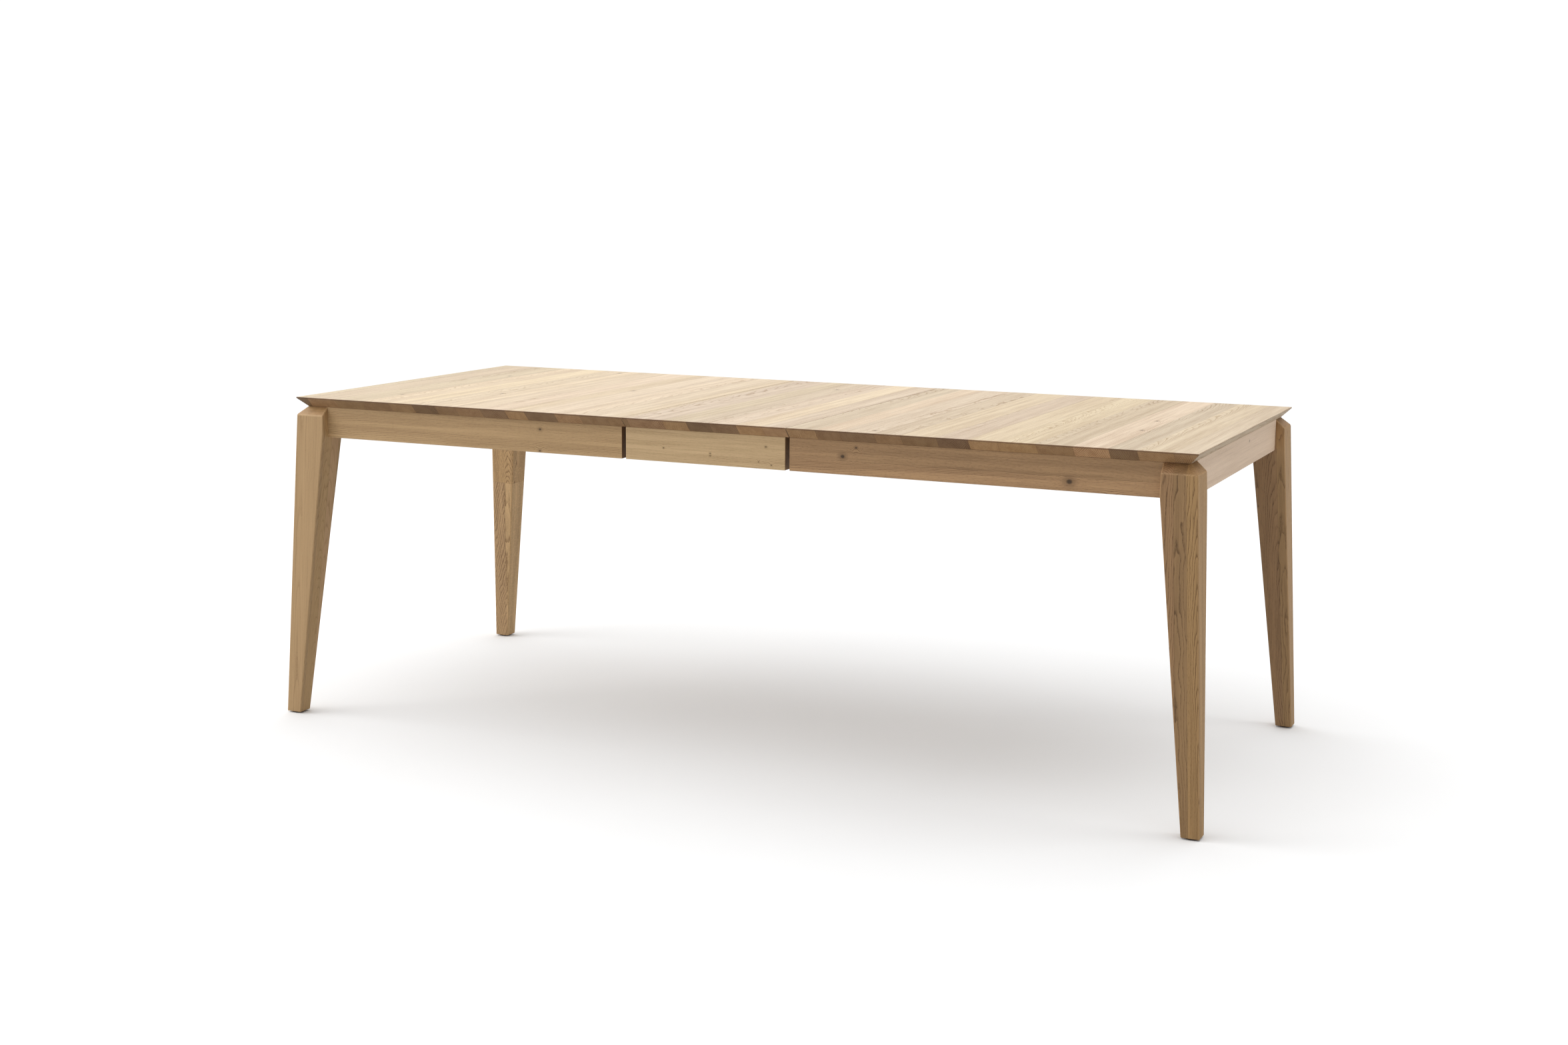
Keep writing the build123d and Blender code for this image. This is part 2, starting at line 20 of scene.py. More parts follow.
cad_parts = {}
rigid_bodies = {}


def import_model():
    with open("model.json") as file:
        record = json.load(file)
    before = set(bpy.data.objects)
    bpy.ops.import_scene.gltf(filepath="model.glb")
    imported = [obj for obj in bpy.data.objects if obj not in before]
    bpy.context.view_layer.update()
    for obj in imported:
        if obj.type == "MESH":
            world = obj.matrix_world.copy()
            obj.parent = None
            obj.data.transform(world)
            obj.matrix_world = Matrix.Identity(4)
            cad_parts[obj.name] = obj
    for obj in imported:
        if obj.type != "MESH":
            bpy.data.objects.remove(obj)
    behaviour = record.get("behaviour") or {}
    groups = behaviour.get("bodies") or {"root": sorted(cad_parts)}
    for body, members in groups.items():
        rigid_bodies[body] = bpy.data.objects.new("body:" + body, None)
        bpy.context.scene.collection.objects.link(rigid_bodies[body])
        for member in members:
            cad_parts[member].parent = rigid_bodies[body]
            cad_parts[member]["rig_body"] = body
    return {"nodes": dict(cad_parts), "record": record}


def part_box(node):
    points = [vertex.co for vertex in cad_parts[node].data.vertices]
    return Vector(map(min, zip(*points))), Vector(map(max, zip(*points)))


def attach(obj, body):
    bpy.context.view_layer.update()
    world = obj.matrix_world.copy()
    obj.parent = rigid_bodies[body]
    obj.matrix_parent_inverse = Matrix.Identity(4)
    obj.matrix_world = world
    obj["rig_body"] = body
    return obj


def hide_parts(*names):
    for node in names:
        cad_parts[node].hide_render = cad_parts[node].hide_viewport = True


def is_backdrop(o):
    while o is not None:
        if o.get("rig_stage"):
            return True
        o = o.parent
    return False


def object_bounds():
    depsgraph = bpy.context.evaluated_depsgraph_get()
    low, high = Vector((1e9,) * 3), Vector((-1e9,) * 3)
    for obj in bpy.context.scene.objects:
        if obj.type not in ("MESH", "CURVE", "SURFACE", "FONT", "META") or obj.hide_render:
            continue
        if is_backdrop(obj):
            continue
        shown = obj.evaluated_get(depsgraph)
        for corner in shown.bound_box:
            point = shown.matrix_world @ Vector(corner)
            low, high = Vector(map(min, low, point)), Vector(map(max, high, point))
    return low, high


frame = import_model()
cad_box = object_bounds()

print("box of the working model", [round(v, 4) for v in (*cad_box[0], *cad_box[1])])

# %% [markdown]
# ## Sizes that everything else hangs on
#
# A joiner writes the few sizes that matter on a rod, and takes all others from it. The working model is our
# rod: the boxes of its nodes tell where the top ends, where the seams are and how low the aprons reach.
# Only the sizes that a box can't tell, such as the thickness of a tapered leg at its foot, are written here.

# %% Read the sizes
LEFT, RIGHT, FRONT, BACK = -1, 1, -1, 1
HALVES = {"left": LEFT, "right": RIGHT}
SIDES = {"front": FRONT, "back": BACK}

top_low, top_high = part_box("top_right")
leaf_low, leaf_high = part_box("leaf_top")
apron_low, apron_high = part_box("apron_front_right")
leg_low, leg_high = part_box("leg_back_right")

end_x = top_high.x
side_y = top_high.y
under_top = top_low.z
top_z = top_high.z
apron_bottom = apron_low.z
seat_x = leg_low.x
seat_y = leg_low.y

under_bevel = 0.020
leg_head = 0.078
leg_foot = 0.038
shoulder_rise = 0.019
leg_splay_x = 0.038
leg_splay_y = 0.025
leg_flat = 0.016
leg_flat_height = 0.068
shoulder_z = under_top - shoulder_rise
print("top", round(2 * end_x, 3), "by", round(2 * side_y, 3), "high", round(top_z, 4))

# %% [markdown]
# ## The camera
#
# A table is best seen a little from above and from one corner, so that the top, a long side and an end all
# show. A fairly long lens from over four metres keeps the legs upright. The turn and tilt are given as
# angles, because that is how one would aim a real camera.

# %% Place the camera
camera_place = Vector((1.9432, -4.2458, 1.2725))
camera_turn = math.radians(24.75)
camera_tilt = math.radians(9.73)
camera_roll = math.radians(0.39)
camera_lens = 46.57

bpy.ops.object.select_all(action="DESELECT")
bpy.ops.object.camera_add(location=camera_place)
camera = bpy.context.object
camera.name = "camera"
aim = Matrix.Rotation(camera_turn, 3, "Z") @ Matrix.Rotation(math.pi / 2 - camera_tilt, 3, "X")
aim = aim @ Matrix.Rotation(camera_roll, 3, "Z")
camera.rotation_euler = aim.to_euler()
camera.data.lens = camera_lens
camera.data.sensor_width = 36.0
camera.data.clip_end = 200.0
bpy.context.scene.camera = camera
print("camera", [round(v, 3) for v in camera.location], "lens", camera.data.lens)

# %% [markdown]
# ## Helpers for finishes
#
# A procedural finish is a small machine: it takes a point of the piece, and works out a colour, a roughness
# and a height for it. Blender's node trees do this. Writing the nodes by hand is long, so a few short helpers
# add a node, feed its inputs with numbers or with other nodes' outputs, and give back its output.

# %% Helpers for node trees
def feed(tree, socket, value):
    """Link another node's output to a socket, or set the socket to a plain value."""
    if isinstance(value, bpy.types.NodeSocket):
        tree.links.new(value, socket)
    elif value is not None:
        socket.default_value = value


def calc(tree, operation, first, second=None, third=None):
    """One arithmetic step on numbers."""
    node = tree.nodes.new("ShaderNodeMath")
    node.operation = operation
    for socket, value in zip(node.inputs, (first, second, third)):
        feed(tree, socket, value)
    return node.outputs[0]


def vector_calc(tree, operation, first, second=None):
    """One arithmetic step on points or directions."""
    node = tree.nodes.new("ShaderNodeVectorMath")
    node.operation = operation
    feed(tree, node.inputs[0], first)
    feed(tree, node.inputs[1], second)
    return node.outputs["Value"] if operation in ("DOT_PRODUCT", "LENGTH") else node.outputs["Vector"]


def smooth_step(tree, value, start, end, low=0.0, high=1.0):
    """Go smoothly from low to high while a number goes from start to end."""
    node = tree.nodes.new("ShaderNodeMapRange")
    node.interpolation_type = "SMOOTHSTEP"
    for socket, given in zip(node.inputs, (value, start, end, low, high)):
        feed(tree, socket, given)
    return node.outputs[0]


def mix_colour(tree, share, first, second, mode="MIX"):
    """Mix two colours."""
    node = tree.nodes.new("ShaderNodeMix")
    node.data_type = "RGBA"
    node.blend_type = mode
    feed(tree, node.inputs["Factor"], share)
    feed(tree, node.inputs["A"], first)
    feed(tree, node.inputs["B"], second)
    return node.outputs["Result"]


def cloud(tree, place, detail=2.0, roughness=0.5):
    """Smooth random clouds about one unit across, as a number from 0 to 1."""
    node = tree.nodes.new("ShaderNodeTexNoise")
    node.inputs["Scale"].default_value = 1.0
    node.inputs["Detail"].default_value = detail
    node.inputs["Roughness"].default_value = roughness
    feed(tree, node.inputs["Vector"], place)
    return node.outputs[0]


def new_finish(name):
    """A new material with one surface shader."""
    material = bpy.data.materials.new(name)
    material.use_nodes = True
    tree = material.node_tree
    tree.nodes.clear()
    output = tree.nodes.new("ShaderNodeOutputMaterial")
    shader = tree.nodes.new("ShaderNodeBsdfPrincipled")
    tree.links.new(shader.outputs["BSDF"], output.inputs["Surface"])
    return material, tree, shader


def rough_up(tree, shader, height, depth, strength):
    """Tilt the surface by a height pattern."""
    bump = tree.nodes.new("ShaderNodeBump")
    bump.inputs["Distance"].default_value = depth
    bump.inputs["Strength"].default_value = strength
    feed(tree, bump.inputs["Height"], height)
    feed(tree, shader.inputs["Normal"], bump.outputs["Normal"])


# %% [markdown]
# ## Wood from the inside out
#
# Grain isn't painted on a board. It is what shows of the tree's rings where the saw went through. So the wood
# here is solid: each point is measured from the pith of the tree that its board came from, and the distance
# says which ring it is in. A long face then shows lines and arches, and an end shows arcs, without any extra
# work, and the lines run round the edges of a board as they should.
#
# A glued panel is many boards side by side. A one-dimensional Voronoi pattern cuts the panel into boards of
# uneven width, and gives each its own pith, tone and tilt. Fine fibres, pores, knots and the silvery flecks
# of oak are stretched clouds laid over the rings.

# %% The frame of a board
def board_frame(tree, across, through, along, corner):
    """The point in a board's own frame: across the glued boards, through the thickness, along the grain."""
    coordinates = tree.nodes.new("ShaderNodeTexCoord")
    mapping = tree.nodes.new("ShaderNodeMapping")
    mapping.vector_type = "TEXTURE"
    axes = Matrix((Vector(across), Vector(through), Vector(along))).transposed()
    mapping.inputs["Location"].default_value = corner
    mapping.inputs["Rotation"].default_value = axes.to_euler()
    feed(tree, mapping.inputs["Vector"], coordinates.outputs["Object"])
    facing = vector_calc(tree, "DOT_PRODUCT", coordinates.outputs["Normal"], Vector(along))
    facing = calc(tree, "ABSOLUTE", facing)
    end_grain = smooth_step(tree, facing, 0.30, 0.72)
    square_cut = smooth_step(tree, facing, 0.76, 0.96)
    return mapping.outputs["Vector"], end_grain, square_cut


def glued_boards(tree, x, width, unevenness, seed):
    """Cut a panel into boards. Gives two random colours a board, its middle and the distance to its edge."""
    step = calc(tree, "MULTIPLY_ADD", x, 1.0 / width, 10.0 + 17.3 * seed)
    cells = tree.nodes.new("ShaderNodeTexVoronoi")
    cells.voronoi_dimensions = "1D"
    cells.inputs["Scale"].default_value = 1.0
    cells.inputs["Randomness"].default_value = unevenness
    feed(tree, cells.inputs["W"], step)
    edges = tree.nodes.new("ShaderNodeTexVoronoi")
    edges.voronoi_dimensions = "1D"
    edges.feature = "DISTANCE_TO_EDGE"
    edges.inputs["Scale"].default_value = 1.0
    edges.inputs["Randomness"].default_value = unevenness
    feed(tree, edges.inputs["W"], step)
    from_middle = calc(tree, "MULTIPLY", calc(tree, "SUBTRACT", step, cells.outputs["W"]), width)
    edge = calc(tree, "MULTIPLY", edges.outputs["Distance"], width)
    more = tree.nodes.new("ShaderNodeTexWhiteNoise")
    more.noise_dimensions = "1D"
    feed(tree, more.inputs["W"], cells.outputs["W"])
    return cells.outputs["Color"], more.outputs["Color"], from_middle, edge


def parts_of(tree, value):
    """The three numbers of a colour or a point."""
    node = tree.nodes.new("ShaderNodeSeparateXYZ")
    feed(tree, node.inputs[0], value)
    return node.outputs


def spread(tree, value, low, high):
    """Turn a number from 0 to 1 into one from low to high."""
    return calc(tree, "MULTIPLY_ADD", value, high - low, low)


# %% [markdown]
# The rings are found from the distance to the pith. A slow cloud bends them, and every board's pith is tilted
# a little against the saw, which is what turns straight lines into the pointed arches of a flat-sawn board.
# Knots push the rings aside, so they come first.

# %% Rings, fibres and knots
def random_knots(tree, x, z, spacing, share, radius, seed):
    """Small knots strewn at random: how far a point is from the nearest, in radii of a knot."""
    place = tree.nodes.new("ShaderNodeCombineXYZ")
    feed(tree, place.inputs[0], calc(tree, "MULTIPLY_ADD", x, 1.0 / spacing, 3.1 * seed))
    feed(tree, place.inputs[1], calc(tree, "MULTIPLY_ADD", z, 0.55 / spacing, 5.7 * seed))
    spots = tree.nodes.new("ShaderNodeTexVoronoi")
    spots.voronoi_dimensions = "2D"
    spots.inputs["Scale"].default_value = 1.0
    feed(tree, spots.inputs["Vector"], place.outputs[0])
    missing = calc(tree, "GREATER_THAN", parts_of(tree, spots.outputs["Color"])[0], share)
    radii = calc(tree, "MULTIPLY", spots.outputs["Distance"], spacing / radius)
    return calc(tree, "MULTIPLY_ADD", missing, 1000.0, radii)


def placed_knots(tree, x, z, nearest, places):
    """Knots where the maker wants them, each with its place across and along the grain and its radius."""
    for across, along, radius in places:
        side = calc(tree, "MULTIPLY_ADD", x, 1 / radius, -across / radius)
        ahead = calc(tree, "MULTIPLY_ADD", z, 0.8 / radius, -0.8 * along / radius)
        squares = calc(tree, "MULTIPLY_ADD", side, side, calc(tree, "MULTIPLY", ahead, ahead))
        nearest = calc(tree, "MINIMUM", calc(tree, "SQRT", squares), nearest)
    return nearest


def ring_lines(tree, point, draws, more_draws, from_middle, push, ring, pith_depth, pith_aside, tilt, seed):
    """The saw-tooth of the year rings, from 0 just after winter to 1 at the next one."""
    x, y, z = parts_of(tree, point)
    first, second, third = parts_of(tree, draws)
    fourth, fifth, sixth = parts_of(tree, more_draws)
    slow = vector_calc(tree, "MULTIPLY_ADD", point, (9.0, 9.0, 2.2))
    slow.node.inputs[2].default_value = (seed * 3.7, seed * 1.9, seed * 5.3)
    bend = calc(tree, "SUBTRACT", cloud(tree, slow, 3.0, 0.55), 0.5)
    quick = vector_calc(tree, "MULTIPLY", point, (55.0, 55.0, 14.0))
    quiver = calc(tree, "SUBTRACT", cloud(tree, quick, 2.0, 0.5), 0.5)
    aside = calc(tree, "ADD", from_middle, spread(tree, first, -pith_aside, pith_aside))
    aside = calc(tree, "MULTIPLY_ADD", z, spread(tree, third, -0.5 * tilt, 0.5 * tilt), aside)
    aside = calc(tree, "MULTIPLY_ADD", bend, 0.020, aside)
    deep = calc(tree, "ADD", y, spread(tree, second, 0.4 * pith_depth, 1.6 * pith_depth))
    deep = calc(tree, "MULTIPLY_ADD", z, spread(tree, fourth, -tilt, tilt), deep)
    deep = calc(tree, "MULTIPLY_ADD", bend, 0.012, deep)
    deep = calc(tree, "MULTIPLY_ADD", quiver, 0.006, deep)
    squares = calc(tree, "MULTIPLY_ADD", aside, aside, calc(tree, "MULTIPLY", deep, deep))
    radius = calc(tree, "ADD", calc(tree, "SQRT", squares), push)
    rings = calc(tree, "DIVIDE", radius, spread(tree, fifth, 0.7 * ring, 1.4 * ring))
    return calc(tree, "FRACT", calc(tree, "ADD", rings, sixth))


def tooth(tree, phase, start, end):
    """How open the wood is at a place in its ring: an early band full of pores that fades into late wood."""
    rise = smooth_step(tree, phase, 0.0, 0.07)
    fade = smooth_step(tree, phase, start, end, 1.0, 0.0)
    return calc(tree, "MULTIPLY", rise, fade)


# %% [markdown]
# Two boards from one sawmill never match. Each gets its own brightness, and a little more or less green and
# blue, which reads as a pinker or a yellower board. The end of a board drinks more oil than its face, so it
# gets darker and warmer, and some boards far more than others. A cut square to the grain drinks the most.

# %% Tones of boards and of their ends
def board_tone(tree, draws, more_draws, board_play):
    """The colour that one board's wood is multiplied by."""
    bright = spread(tree, parts_of(tree, draws)[2], 1.0 - board_play, 1.0 + 0.5 * board_play)
    hue = parts_of(tree, more_draws)
    green = spread(tree, hue[0], 1.0 - 0.15 * board_play, 1.0 + 0.08 * board_play)
    blue = spread(tree, hue[1], 1.0 - 0.5 * board_play, 1.0 + 0.3 * board_play)
    tone = tree.nodes.new("ShaderNodeCombineXYZ")
    feed(tree, tone.inputs[0], bright)
    feed(tree, tone.inputs[1], calc(tree, "MULTIPLY", bright, green))
    feed(tree, tone.inputs[2], calc(tree, "MULTIPLY", bright, blue))
    return tone.outputs[0]


def end_stain(tree, more_draws, square_cut, end_dark, end_play):
    """The colour that end grain is multiplied by once it's oiled."""
    thirst = parts_of(tree, more_draws)[2]
    oiled = spread(tree, thirst, 1.0 - end_dark, 1.0 - end_dark * (1 - end_play))
    oiled = calc(tree, "MULTIPLY", oiled, spread(tree, square_cut, 1.0, 1.0 - 0.8 * end_dark))
    stain = tree.nodes.new("ShaderNodeCombineXYZ")
    for socket, share in zip(stain.inputs, (0.0, 0.40, 0.74)):
        feed(tree, socket, calc(tree, "MULTIPLY", oiled, 1.0 - share * end_dark))
    return stain.outputs[0]


# %% [markdown]
# One function puts a kind of wood together from a few plain words: how wide its glued boards are, how fast
# the tree grew, how dark its lines are, how much its boards differ. From top to bottom it cuts the boards,
# finds the rings round the knots, adds fibres and pores, picks the colour, and ends with gloss and relief.

# %% A wood finish
def wood(name, across, through, along, corner=(0, 0, 0), seed=0.0,
         pale=(0.6, 0.45, 0.3), dark=(0.3, 0.2, 0.1), board=0.08, unevenness=0.7,
         ring=0.0035, pith_depth=0.05, pith_aside=0.045, tilt=0.10,
         line=0.55, streak=0.35, board_play=0.20, knot_share=0.12, knot_spacing=0.16, knot_size=0.005,
         knot_places=(), splice=None, fleck=0.0, end_dark=0.55, end_play=0.5, gloss=0.55, glue=0.25,
         edge_wear_and_shade_tone=None, edge_wear_and_shade=0.25):
    """Solid wood. pale and dark are the colours between the lines and in them."""
    material, tree, shader = new_finish(name)
    point, end_grain, square_cut = board_frame(tree, across, through, along, corner)
    x, y, z = parts_of(tree, point)
    if splice is not None:
        lower = calc(tree, "LESS_THAN", z, splice)
        spliced = vector_calc(tree, "MULTIPLY_ADD", lower, (0.31, 0.012, 3.0))
        feed(tree, spliced.node.inputs[2], point)
        splice_gap = calc(tree, "ABSOLUTE", calc(tree, "SUBTRACT", z, splice))
        point = spliced
        x, y, z = parts_of(tree, point)
    draws, more_draws, from_middle, edge = glued_boards(tree, x, board, unevenness, seed)
    knot_far = random_knots(tree, x, z, knot_spacing, knot_share, knot_size, seed)
    knot_far = placed_knots(tree, x, z, knot_far, knot_places)
    push = smooth_step(tree, knot_far, 0.0, 7.0, 2.5 * knot_size, 0.0)
    phase = ring_lines(tree, point, draws, more_draws, from_middle, push,
                       ring, pith_depth, pith_aside, tilt, seed)
    early = tooth(tree, phase, 0.10, 0.40)
    shade = tooth(tree, phase, 0.10, 0.95)

    fibre = cloud(tree, vector_calc(tree, "MULTIPLY", point, (480.0, 480.0, 9.0)), 3.0, 0.65)
    broad = cloud(tree, vector_calc(tree, "MULTIPLY", point, (60.0, 60.0, 1.4)), 3.0, 0.6)
    fine = cloud(tree, vector_calc(tree, "MULTIPLY", point, (1100.0, 1100.0, 130.0)), 1.0, 0.5)
    dashes = smooth_step(tree, fine, 0.50, 0.60)
    pores = calc(tree, "MULTIPLY", dashes, spread(tree, early, 0.12, 1.0))

    strength = smooth_step(tree, broad, 0.30, 0.68, 0.25, 1.0)
    open_wood = calc(tree, "MULTIPLY", calc(tree, "MULTIPLY", early, spread(tree, dashes, 0.55, 1.15)), line)
    amount = calc(tree, "MULTIPLY", calc(tree, "MULTIPLY_ADD", shade, 0.35 * line, open_wood), strength)
    amount = calc(tree, "MULTIPLY_ADD", calc(tree, "SUBTRACT", broad, 0.5), 1.3 * streak, amount)
    amount = calc(tree, "MULTIPLY_ADD", calc(tree, "SUBTRACT", fibre, 0.5), 1.5 * streak, amount)
    amount = calc(tree, "MULTIPLY_ADD", pores, 0.30 * line, amount)
    rings_of_end = calc(tree, "MULTIPLY", end_grain, spread(tree, early, -0.15, 0.55))
    amount = calc(tree, "MULTIPLY_ADD", rings_of_end, end_dark, amount)
    amount = calc(tree, "ADD", amount, 0.14)
    node = tree.nodes.new("ShaderNodeClamp")
    feed(tree, node.inputs[0], amount)
    colour = mix_colour(tree, node.outputs[0], (*pale, 1.0), (*dark, 1.0))

    tone = board_tone(tree, draws, more_draws, board_play)
    colour = mix_colour(tree, 1.0, colour, tone, "MULTIPLY")

    if fleck:
        rays = cloud(tree, vector_calc(tree, "MULTIPLY", point, (300.0, 110.0, 260.0)), 1.0, 0.4)
        rays = calc(tree, "MULTIPLY", smooth_step(tree, rays, 0.58, 0.66), fleck)
        colour = mix_colour(tree, rays, colour, (*[min(1.0, 1.25 * v) for v in pale], 1.0))

    core = smooth_step(tree, calc(tree, "MULTIPLY_ADD", fine, 0.5, knot_far), 0.7, 1.4, 0.85, 0.0)
    halo = smooth_step(tree, knot_far, 0.8, 3.2, 0.5, 0.0)
    colour = mix_colour(tree, halo, colour, (*[0.8 * v for v in dark], 1.0))
    colour = mix_colour(tree, core, colour, (*[0.22 * v for v in dark], 1.0))
    if splice is not None:
        edge = calc(tree, "MINIMUM", edge, splice_gap)
    joint = smooth_step(tree, edge, 0.0002, 0.0007, glue, 0.0)
    colour = mix_colour(tree, joint, colour, (*[0.5 * v for v in dark], 1.0))

    stain = end_stain(tree, more_draws, square_cut, end_dark, end_play)
    stained = mix_colour(tree, 1.0, colour, stain, "MULTIPLY")
    colour = mix_colour(tree, end_grain, colour, stained)

    # The narrow faces along the edges are mixed towards an edge colour: paler as wear on most pieces, and on
    # the top a dark brown that is painted shade along its edges and seams.
    arris = tree.nodes.new("ShaderNodeAttribute")
    arris.attribute_name = "arris"
    wear_and_shade_share = calc(tree, "MULTIPLY", arris.outputs["Fac"], spread(tree, fibre, 0.3 * edge_wear_and_shade, 1.7 * edge_wear_and_shade))
    colour = mix_colour(tree, wear_and_shade_share, colour, (*(edge_wear_and_shade_tone or [min(1.0, 1.15 * v) for v in pale]), 1.0))
    feed(tree, shader.inputs["Base Color"], colour)

    dull = calc(tree, "MULTIPLY_ADD", fibre, 0.16, gloss - 0.08)
    dull = calc(tree, "MULTIPLY_ADD", early, 0.10, dull)
    feed(tree, shader.inputs["Roughness"], dull)
    height = calc(tree, "MULTIPLY_ADD", early, -0.30, fibre)
    height = calc(tree, "MULTIPLY_ADD", pores, -0.80, height)
    height = calc(tree, "MULTIPLY_ADD", joint, -0.60, height)
    rough_up(tree, shader, height, 0.0004, 0.45)
    print("wood", name, "nodes", len(tree.nodes))
    return material


# %% [markdown]
# ## Helpers for joinery
#
# Each board starts as a block of the size that the working model gives, and is then worked in edit mode. The
# helpers select faces or edges by a test on their place, because nobody is here to click on them. Everything
# is deselected first, since an operator works on all that is selected.

# %% Helpers for meshes
def block(name, low, high):
    """A block between two corners, with its place and size applied."""
    bpy.ops.object.select_all(action="DESELECT")
    middle = (Vector(low) + Vector(high)) / 2
    size = Vector(high) - Vector(low)
    bpy.ops.mesh.primitive_cube_add(size=1.0, location=middle, scale=size)
    piece = bpy.context.object
    piece.name = name
    piece.data.name = name
    bpy.ops.object.transform_apply(location=True, rotation=True, scale=True)
    return piece


def only(piece):
    """Make one piece the selected and active one."""
    bpy.ops.object.select_all(action="DESELECT")
    piece.select_set(True)
    bpy.context.view_layer.objects.active = piece


def edit(piece, mode, test):
    """Go into edit mode with the faces or edges selected whose middle passes the test."""
    only(piece)
    bpy.ops.object.mode_set(mode="EDIT")
    bpy.ops.mesh.select_mode(type=mode)
    bpy.ops.mesh.select_all(action="DESELECT")
    bpy.ops.object.mode_set(mode="OBJECT")
    mesh = piece.data
    if mode == "FACE":
        for face in mesh.polygons:
            face.select = test(face.center, face.normal)
    else:
        for line in mesh.edges:
            start, end = (mesh.vertices[i].co for i in line.vertices)
            line.select = test((start + end) / 2, (end - start).normalized())
    bpy.ops.object.mode_set(mode="EDIT")


def leave_edit():
    bpy.ops.object.mode_set(mode="OBJECT")


def close_to(value, target, slack=0.0006):
    return abs(value - target) < slack


def break_edges(piece, width, segments=3, weights=False):
    """Round the sharp edges of a piece by a small radius, as a sanding block does."""
    only(piece)
    bevel = piece.modifiers.new("arris", "BEVEL")
    bevel.width = width
    bevel.segments = segments
    bevel.limit_method = "WEIGHT" if weights else "ANGLE"
    bevel.angle_limit = math.radians(25)
    bevel.harden_normals = True
    bpy.ops.object.shade_smooth()
    bpy.ops.object.modifier_apply(modifier=bevel.name)
    mark_arris(piece, width)


def mark_arris(piece, width):
    """Give every narrow face the value 1 in the attribute that a finish reads to colour the edges: paler as
    wear on most pieces, and dark brown as painted shade on the top.
    """
    mesh = piece.data
    marks = mesh.attributes.new("arris", "FLOAT", "FACE")
    for face in mesh.polygons:
        corners = [mesh.vertices[i].co for i in face.vertices]
        around = sum((a - b).length for a, b in zip(corners, corners[1:] + corners[:1]))
        marks.data[face.index].value = 1.0 if 2 * face.area / around < width else 0.0


def finish_piece(piece, material, node):
    """Paint a piece, let it ride on its node's body and stand for the node."""
    piece.data.materials.clear()
    piece.data.materials.append(material)
    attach(piece, frame["nodes"][node]["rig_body"])
    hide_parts(node)
    print(piece.name, "faces", len(piece.data.polygons))


# %% [markdown]
# ## The top
#
# The top is 22 mm thick and looks thinner, because its lower edge is planed back at 45 degrees all round. On
# the real table this is done on a saw with a tilted blade. Here the outer lower edges are bevelled in one
# flat cut of the same size, which leaves a narrow upright land above it. The seam edges stay square, so that
# halves and leaf close tight. The boards run across the table, so the long front edge shows their ends.
# The edges between faces are sanded by less than a millimetre, and a thin dark brown line of painted shade
# is laid along every edge and seam. The right half is painted a shade darker than the other boards: painted
# shade, for the light that falls off towards the right end.

# %% Finish of the top
X_AXIS, Y_AXIS, Z_AXIS = (1, 0, 0), (0, 1, 0), (0, 0, 1)
DOWN = (0, 0, -1)

# The top's edge colour is a dark brown: painted shade along every edge and seam.
TOP_WOOD = dict(pale=(0.70, 0.56, 0.38), dark=(0.34, 0.205, 0.095), board=0.066, unevenness=0.9,
                ring=0.0022, pith_depth=0.05, pith_aside=0.10, tilt=0.05, line=0.50, streak=0.80,
                board_play=0.14, knot_share=0.30, knot_spacing=0.22, knot_size=0.0032, end_dark=0.62,
                end_play=0.80, gloss=0.50, glue=0.35, edge_wear_and_shade_tone=(0.20, 0.09, 0.035), edge_wear_and_shade=0.55)


def top_wood(board, seed, **own_looks_and_shade):
    """Oak for one board of the top. own_looks_and_shade are what differs from the other boards; for the right
    half that is a darker pale colour, which is painted shade.
    """
    looks = {**TOP_WOOD, **own_looks_and_shade}
    return wood(f"oak_top_{board}", X_AXIS, DOWN, Y_AXIS, (0, 0, top_z), seed=seed, **looks)


top_finish = {
    "left": top_wood("left", 1.0),
    "leaf": top_wood("leaf", 2.0),
    # The right half's darker pale colour is painted shade, for the light that falls off towards the right
    # end.
    "right": top_wood("right", 3.0, pale=(0.655, 0.52, 0.352)),
}

# %% Make the three boards of the top
def top_board(name, node, has_end):
    """A board with its outer lower edges planed back. has_end tells whether its ends along X are outer."""
    low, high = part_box(node)
    piece = block(name, low, high)

    def outer_lower_edge(middle, way):
        if not close_to(middle.z, low.z):
            return False
        return close_to(abs(middle.y), side_y) or (has_end and close_to(abs(middle.x), end_x))

    edit(piece, "EDGE", outer_lower_edge)
    bpy.ops.mesh.bevel(offset_type="OFFSET", offset=under_bevel, segments=1, affect="EDGES")
    leave_edit()
    break_edges(piece, 0.0008, 2)
    return piece


for half in HALVES:
    finish_piece(top_board(f"board_{half}", f"top_{half}", True), top_finish[half], f"top_{half}")
finish_piece(top_board("board_leaf", "leaf_top", False), top_finish["leaf"], "leaf_top")

# %% [markdown]
# ## The legs
#
# A leg is square, thick at its shoulder and less than half as thick at the floor. Its outer faces lean out,
# and above the shoulder the two outer faces slope in under the top, like a hipped roof. With the top's planed
# edge this makes the V notch that gives the corner its look.
# The leg starts as a block. Its lower face is shrunk and moved out, its upper face is drawn up and moved in,
# and two upright cuts give the inner faces a flat seat for the aprons. The edges are rounded by weight: the
# long ones most, the shoulder less, and the edge that touches the top not at all.
# Last, a block turned by 45 degrees takes a flat off the inner corner, hidden behind the aprons. On the real
# table the bolts of the corner plate pull the leg tight against that flat.

# %% Make a leg
leg_round = 0.0028


def leg_section(way, side, z):
    """Middle and size of the leg's square section at a height up to the shoulder."""
    share = 1 - z / shoulder_z
    size = leg_head + (leg_foot - leg_head) * share
    x = way * (end_x + leg_splay_x * share - size / 2)
    y = side * (side_y + leg_splay_y * share - size / 2)
    return Vector((x, y, z)), size


